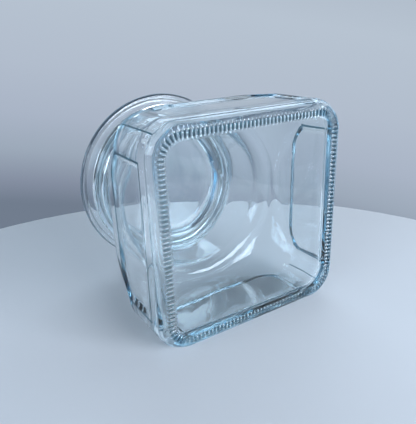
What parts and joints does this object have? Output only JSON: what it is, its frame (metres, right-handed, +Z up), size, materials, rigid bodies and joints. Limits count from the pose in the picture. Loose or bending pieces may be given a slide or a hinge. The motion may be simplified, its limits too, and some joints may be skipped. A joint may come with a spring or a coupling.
{
  "type": "lidded glass canister",
  "caption": "Square clear-glass storage canister with sunk side panels and a round neck, closed by a round glass lid with a soft seal.",
  "frame": {"origin": "middle of the footprint, on the side face that the canister lies on", "axes": "+Y along the canister's axis from its base to its lid, +Z up from the side it lies on, +X across; a turn of +90 degrees about +X stands it on its base"},
  "size_m": [0.12, 0.112, 0.12],
  "materials": {
    "jar_glass": "clear pressed glass with a faint sea tint that deepens along thick edges",
    "lid_glass": "clear pressed glass, the same as the jar's",
    "seal_silicone": "translucent silicone, satin"
  },
  "bodies": {
    "jar": {"jar": "jar_glass"},
    "seal": {"lid_seal": "seal_silicone"},
    "lid": {"lid": "lid_glass"}
  },
  "joints": [
    {"name": "lid_lift", "type": "slide", "parent": "jar", "child": "seal", "axis": [0, 1, 0], "range_m": [0, 0.05]},
    {"name": "lid_turn", "type": "hinge", "parent": "seal", "child": "lid", "pos_m": [0, 0.0514, 0.06], "axis": [0, 1, 0], "continuous": true}
  ]
}
